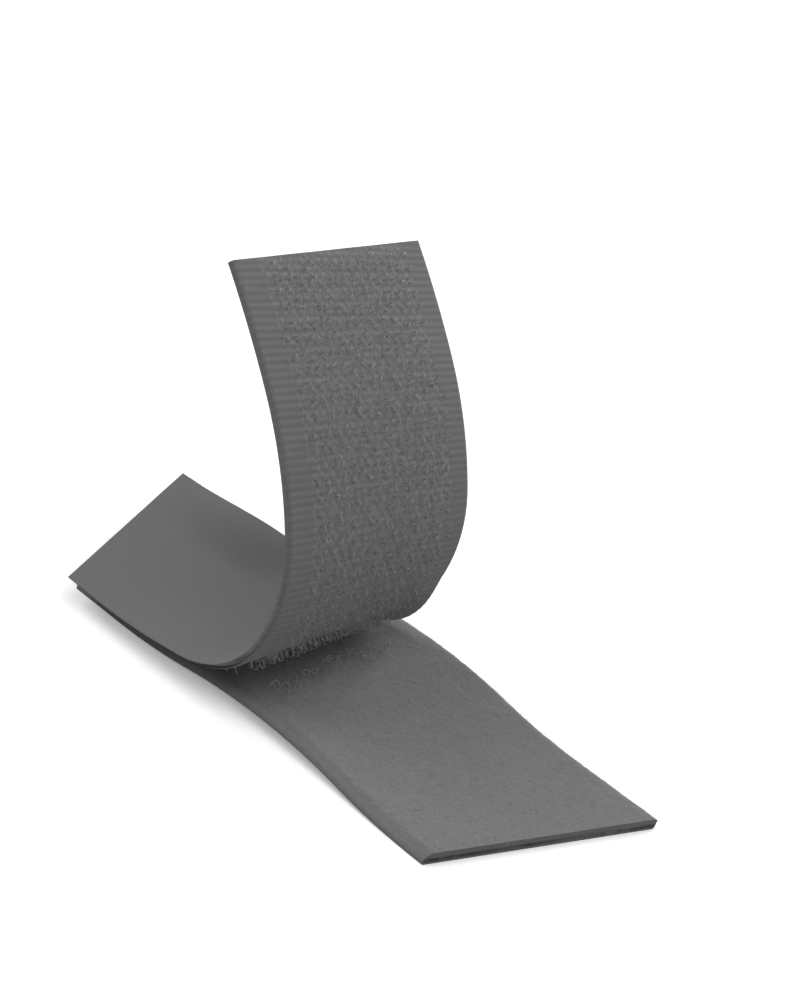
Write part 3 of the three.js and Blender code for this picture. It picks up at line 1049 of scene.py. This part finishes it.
class TAPE_OT_stage(bpy.types.Operator):
    """Set the floor, the light and the camera"""

    bl_idname = "tape.stage"
    bl_label = "Stage"

    def execute(self, context):
        self.floor(context)
        self.light(context)
        self.camera(context)
        context.scene.view_settings.view_transform = "Standard"
        return {"FINISHED"}

    def seen(self, tree, x, y):
        """1 for what the camera or a reflection sees, and 0 for light that bounces."""
        rays = node(tree, "ShaderNodeLightPath", (x, y)).outputs
        return math_node(tree, (x + 200, y), "MAXIMUM", rays["Is Camera Ray"], rays["Is Glossy Ray"])

    def floor(self, context):
        """A pale floor that the camera sees as white, and that throws little light back up."""
        bm = bmesh.new()
        bmesh.ops.create_circle(bm, cap_ends=True, segments=64, radius=FLOOR_RADIUS)
        material = bpy.data.materials.new("Floor")
        material.use_nodes = True
        tree = material.node_tree
        shader = tree.nodes["Principled BSDF"]
        set_inputs(shader, {"Roughness": 0.9, "Specular IOR Level": 0.0, "Emission Color": WHITE})
        seen = self.seen(tree, -700, 200)
        shade = node(tree, "ShaderNodeMix", (-260, 100), data_type="RGBA")
        set_inputs(shade, {"A": FLOOR_BOUNCE, "B": (*context.scene.tape_colours.floor, 1.0)})
        glow = math_node(tree, (-260, -160), "MULTIPLY", seen, FLOOR_GLOW)
        tree.links.new(seen, shade.inputs["Factor"])
        tree.links.new(shade.outputs["Result"], shader.inputs["Base Color"])
        tree.links.new(glow, shader.inputs["Emission Strength"])
        new_piece("floor", bm, material)

    def light(self, context):
        """A faint sky, which the camera sees as white, and the lamps."""
        world = bpy.data.worlds.new("Soft daylight")
        context.scene.world = world
        world.use_nodes = True
        tree = world.node_tree
        sky = tree.nodes["Background"]
        set_inputs(sky, {"Color": WHITE, "Strength": SKY_STRENGTH})
        backdrop = node(tree, "ShaderNodeBackground", (0, 200))
        set_inputs(backdrop, {"Color": WHITE})
        mixed = node(tree, "ShaderNodeMixShader", (240, 100))
        sources = (self.seen(tree, -300, 400), sky.outputs[0], backdrop.outputs[0])
        for source, target in zip(sources, mixed.inputs):
            tree.links.new(source, target)
        tree.links.new(mixed.outputs[0], tree.nodes["World Output"].inputs["Surface"])
        for name, towards, strength in SOFT_LAMPS:
            lamp = bpy.data.lights.new(name, "SUN")
            lamp.energy = strength
            lamp.angle = LAMP_SPREAD
            holder = bpy.data.objects.new(name, lamp)
            holder.location = Vector(towards) * LAMP_DISTANCE
            holder.rotation_euler = (-Vector(towards)).to_track_quat("-Z", "Y").to_euler()
            context.scene.collection.objects.link(holder)

    def camera(self, context):
        """The photograph's view."""
        view = context.scene.tape_view
        flat = math.cos(view.elevation)
        level = (math.cos(view.azimuth) * flat, -math.sin(view.azimuth) * flat)
        back = Vector((*level, math.sin(view.elevation)))
        lens = bpy.data.cameras.new("Photo view")
        lens.sensor_fit = "AUTO"
        lens.lens = view.focal_share * lens.sensor_width
        lens.clip_start, lens.clip_end = 0.005, 20.0
        camera = bpy.data.objects.new("Photo view", lens)
        camera.rotation_mode = "QUATERNION"
        camera.location = Vector(view.aim) + back * view.distance
        roll = Matrix.Rotation(view.roll, 4, "Z").to_quaternion()
        camera.rotation_quaternion = (-back).to_track_quat("-Z", "Y") @ roll
        context.scene.collection.objects.link(camera)
        context.scene.camera = camera


class TAPE_PT_panel(bpy.types.Panel):
    """Lists the steps that dress the tape"""

    bl_label = "Hook and Loop Tape"
    bl_idname = "TAPE_PT_panel"
    bl_space_type = "VIEW_3D"
    bl_region_type = "UI"
    bl_category = "Tape"

    def draw(self, context):
        for operator in OPERATORS:
            self.layout.operator(operator.bl_idname)
        for group in GROUPS:
            box = self.layout.box()
            settings = getattr(context.scene, group)
            box.label(text=settings.bl_rna.description)
            for name in settings.bl_rna.properties.keys():
                if name not in {"rna_type", "name"}:
                    box.prop(settings, name)


GROUPS = {
    "tape_sizes": TapeSizes,
    "tape_hooks": HookSizes,
    "tape_pile": PileSizes,
    "tape_colours": TapeColours,
    "tape_view": PhotoView,
}
OPERATORS = (TAPE_OT_hook_tape, TAPE_OT_hook_field, TAPE_OT_loop_tape, TAPE_OT_loop_pile, TAPE_OT_stage)


def register():
    for made in (*GROUPS.values(), *OPERATORS, TAPE_PT_panel):
        bpy.utils.register_class(made)
    for name, group in GROUPS.items():
        setattr(bpy.types.Scene, name, PointerProperty(type=group))


def unregister():
    for name in GROUPS:
        delattr(bpy.types.Scene, name)
    for made in reversed((*GROUPS.values(), *OPERATORS, TAPE_PT_panel)):
        bpy.utils.unregister_class(made)


def main():
    register()
    bpy.ops.tape.hook_tape()
    bpy.ops.tape.hook_field()
    bpy.ops.tape.loop_tape()
    bpy.ops.tape.loop_pile()
    bpy.ops.tape.stage()


if __name__ == "__main__":
    main()
